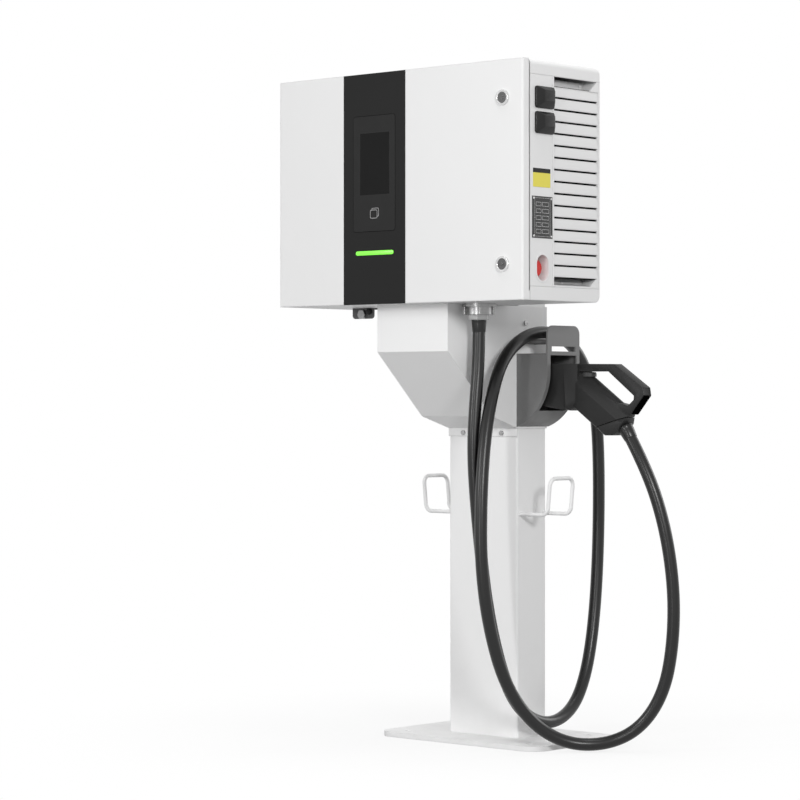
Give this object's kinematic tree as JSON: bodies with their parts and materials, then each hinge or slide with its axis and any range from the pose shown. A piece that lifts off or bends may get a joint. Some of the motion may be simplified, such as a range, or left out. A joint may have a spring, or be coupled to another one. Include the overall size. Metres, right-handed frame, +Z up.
{
  "type": "ev charging post",
  "caption": "Wall box on a square floor post with a hinged door, display, emergency stop and a tethered charging cable whose connector rests in a side holster.",
  "frame": {"origin": "on the floor at the centre of the square post and of its anchor bolt pattern", "axes": "+Z up, the door faces -Y, the holster is on +X"},
  "size_m": [0.7731, 0.5136, 1.3456],
  "materials": {
    "door_white": "satin",
    "case_white": "satin",
    "post_white": "satin",
    "galvanised": "bright zinc",
    "stainless": "brushed",
    "chrome": "polished",
    "fascia_black": "smooth dark",
    "display_black": "smooth",
    "glass": "gloss",
    "light": "translucent green",
    "seal": "matt",
    "stop_red": "gloss",
    "stop_cup": "matt",
    "cover_grey": "matt",
    "holster_grey": "matt",
    "gun_black": "fine grain",
    "contact_grey": "matt",
    "cable_black": "semi gloss",
    "aluminium": "mill",
    "copper": "bare",
    "device_grey": "matt",
    "board_green": "solder mask",
    "fan_black": "matt",
    "dark_metal": "matt"
  },
  "bodies": {
    "post": {"base_plate": "post_white", "post_tube": "post_white", "post_cap": "fascia_black", "mounting_brackets": "galvanised", "bracket_bolts": "galvanised", "cable_shroud": "post_white", "panel_screws": "stainless", "cable_hook_left": "post_white", "cable_hook_right": "post_white", "holster_body": "holster_grey", "cable_saddle": "holster_grey", "back_panel": "case_white", "roof_cover": "case_white", "bottom_tray": "case_white", "right_side_panel": "case_white", "left_side_panel": "case_white", "right_louvre_panel": "case_white", "left_louvre_panel": "case_white", "antenna_covers": "cover_grey", "data_plate": "stainless", "plate_rivets": "stainless", "estop_cup": "stop_cup", "estop_contact_block": "device_grey", "door_gasket": "seal", "hinge_fixed_leaves": "stainless", "hinge_pins": "stainless", "chassis_plate": "galvanised", "standoffs": "galvanised", "power_units": "aluminium", "contactors": "device_grey", "busbars": "copper", "din_rail": "galvanised", "breaker_body": "device_grey", "control_board": "board_green", "fan_frames": "fan_black", "gland_body": "galvanised", "gland_nut": "galvanised", "gland_screws": "galvanised", "earth_lug": "galvanised", "earth_bolt": "galvanised", "charging_cable": "cable_black"},
    "door": {"door_panel": "door_white", "fascia_panel": "fascia_black", "display_module": "display_black", "display_screen": "glass", "card_reader": "display_black", "light_guide": "light", "hinge_door_leaves": "stainless", "lock_housings": "chrome"},
    "upper_lock": {"upper_lock_plug": "dark_metal"},
    "lower_lock": {"lower_lock_plug": "dark_metal"},
    "estop_plunger": {"estop_stem": "stop_cup"},
    "estop_knob": {"estop_head": "stop_red"},
    "lower_fan": {"lower_fan_rotor": "fan_black"},
    "upper_fan": {"upper_fan_rotor": "fan_black"},
    "breaker_toggle": {"breaker_lever": "fan_black"},
    "connector": {"connector_shell": "gun_black", "connector_nose": "contact_grey", "connector_end_cap": "gun_black"},
    "trigger": {"trigger_button": "contact_grey"}
  },
  "joints": [
    {"name": "door_swing", "type": "hinge", "parent": "post", "child": "door", "pos_m": [-0.3278, -0.2893, 1.1156], "axis": [0, 0, -1], "range_deg": [0, 110]},
    {"name": "upper_lock_turn", "type": "hinge", "parent": "door", "child": "upper_lock", "pos_m": [0.2735, -0.3, 1.2727], "axis": [0, -1, 0], "range_deg": [0, 90]},
    {"name": "lower_lock_turn", "type": "hinge", "parent": "door", "child": "lower_lock", "pos_m": [0.2735, -0.3, 0.9548], "axis": [0, -1, 0], "range_deg": [0, 90]},
    {"name": "estop_press", "type": "slide", "parent": "post", "child": "estop_plunger", "axis": [-1, 0, 0], "range_m": [0, 0.004], "stiffness_N_per_m": 800},
    {"name": "estop_twist", "type": "hinge", "parent": "estop_plunger", "child": "estop_knob", "pos_m": [0.32, -0.252, 0.948], "axis": [-1, 0, 0], "range_deg": [0, 45], "stiffness_Nm_per_rad": 0.2},
    {"name": "lower_fan_spin", "type": "hinge", "parent": "post", "child": "lower_fan", "pos_m": [-0.3013, -0.149, 1], "axis": [-1, 0, 0], "continuous": true},
    {"name": "upper_fan_spin", "type": "hinge", "parent": "post", "child": "upper_fan", "pos_m": [-0.3013, -0.149, 1.235], "axis": [-1, 0, 0], "continuous": true},
    {"name": "breaker_throw", "type": "hinge", "parent": "post", "child": "breaker_toggle", "pos_m": [-0.237, -0.1595, 0.985], "axis": [1, 0, 0], "range_deg": [0, 80]},
    {"name": "connector_pull", "type": "slide", "parent": "post", "child": "connector", "axis": [1, 0, 0], "range_m": [0, 0.08], "deforming": ["charging_cable"]},
    {"name": "trigger_press", "type": "slide", "parent": "connector", "child": "trigger", "axis": [0, 0, -1], "range_m": [0, 0.003], "stiffness_N_per_m": 600}
  ]
}
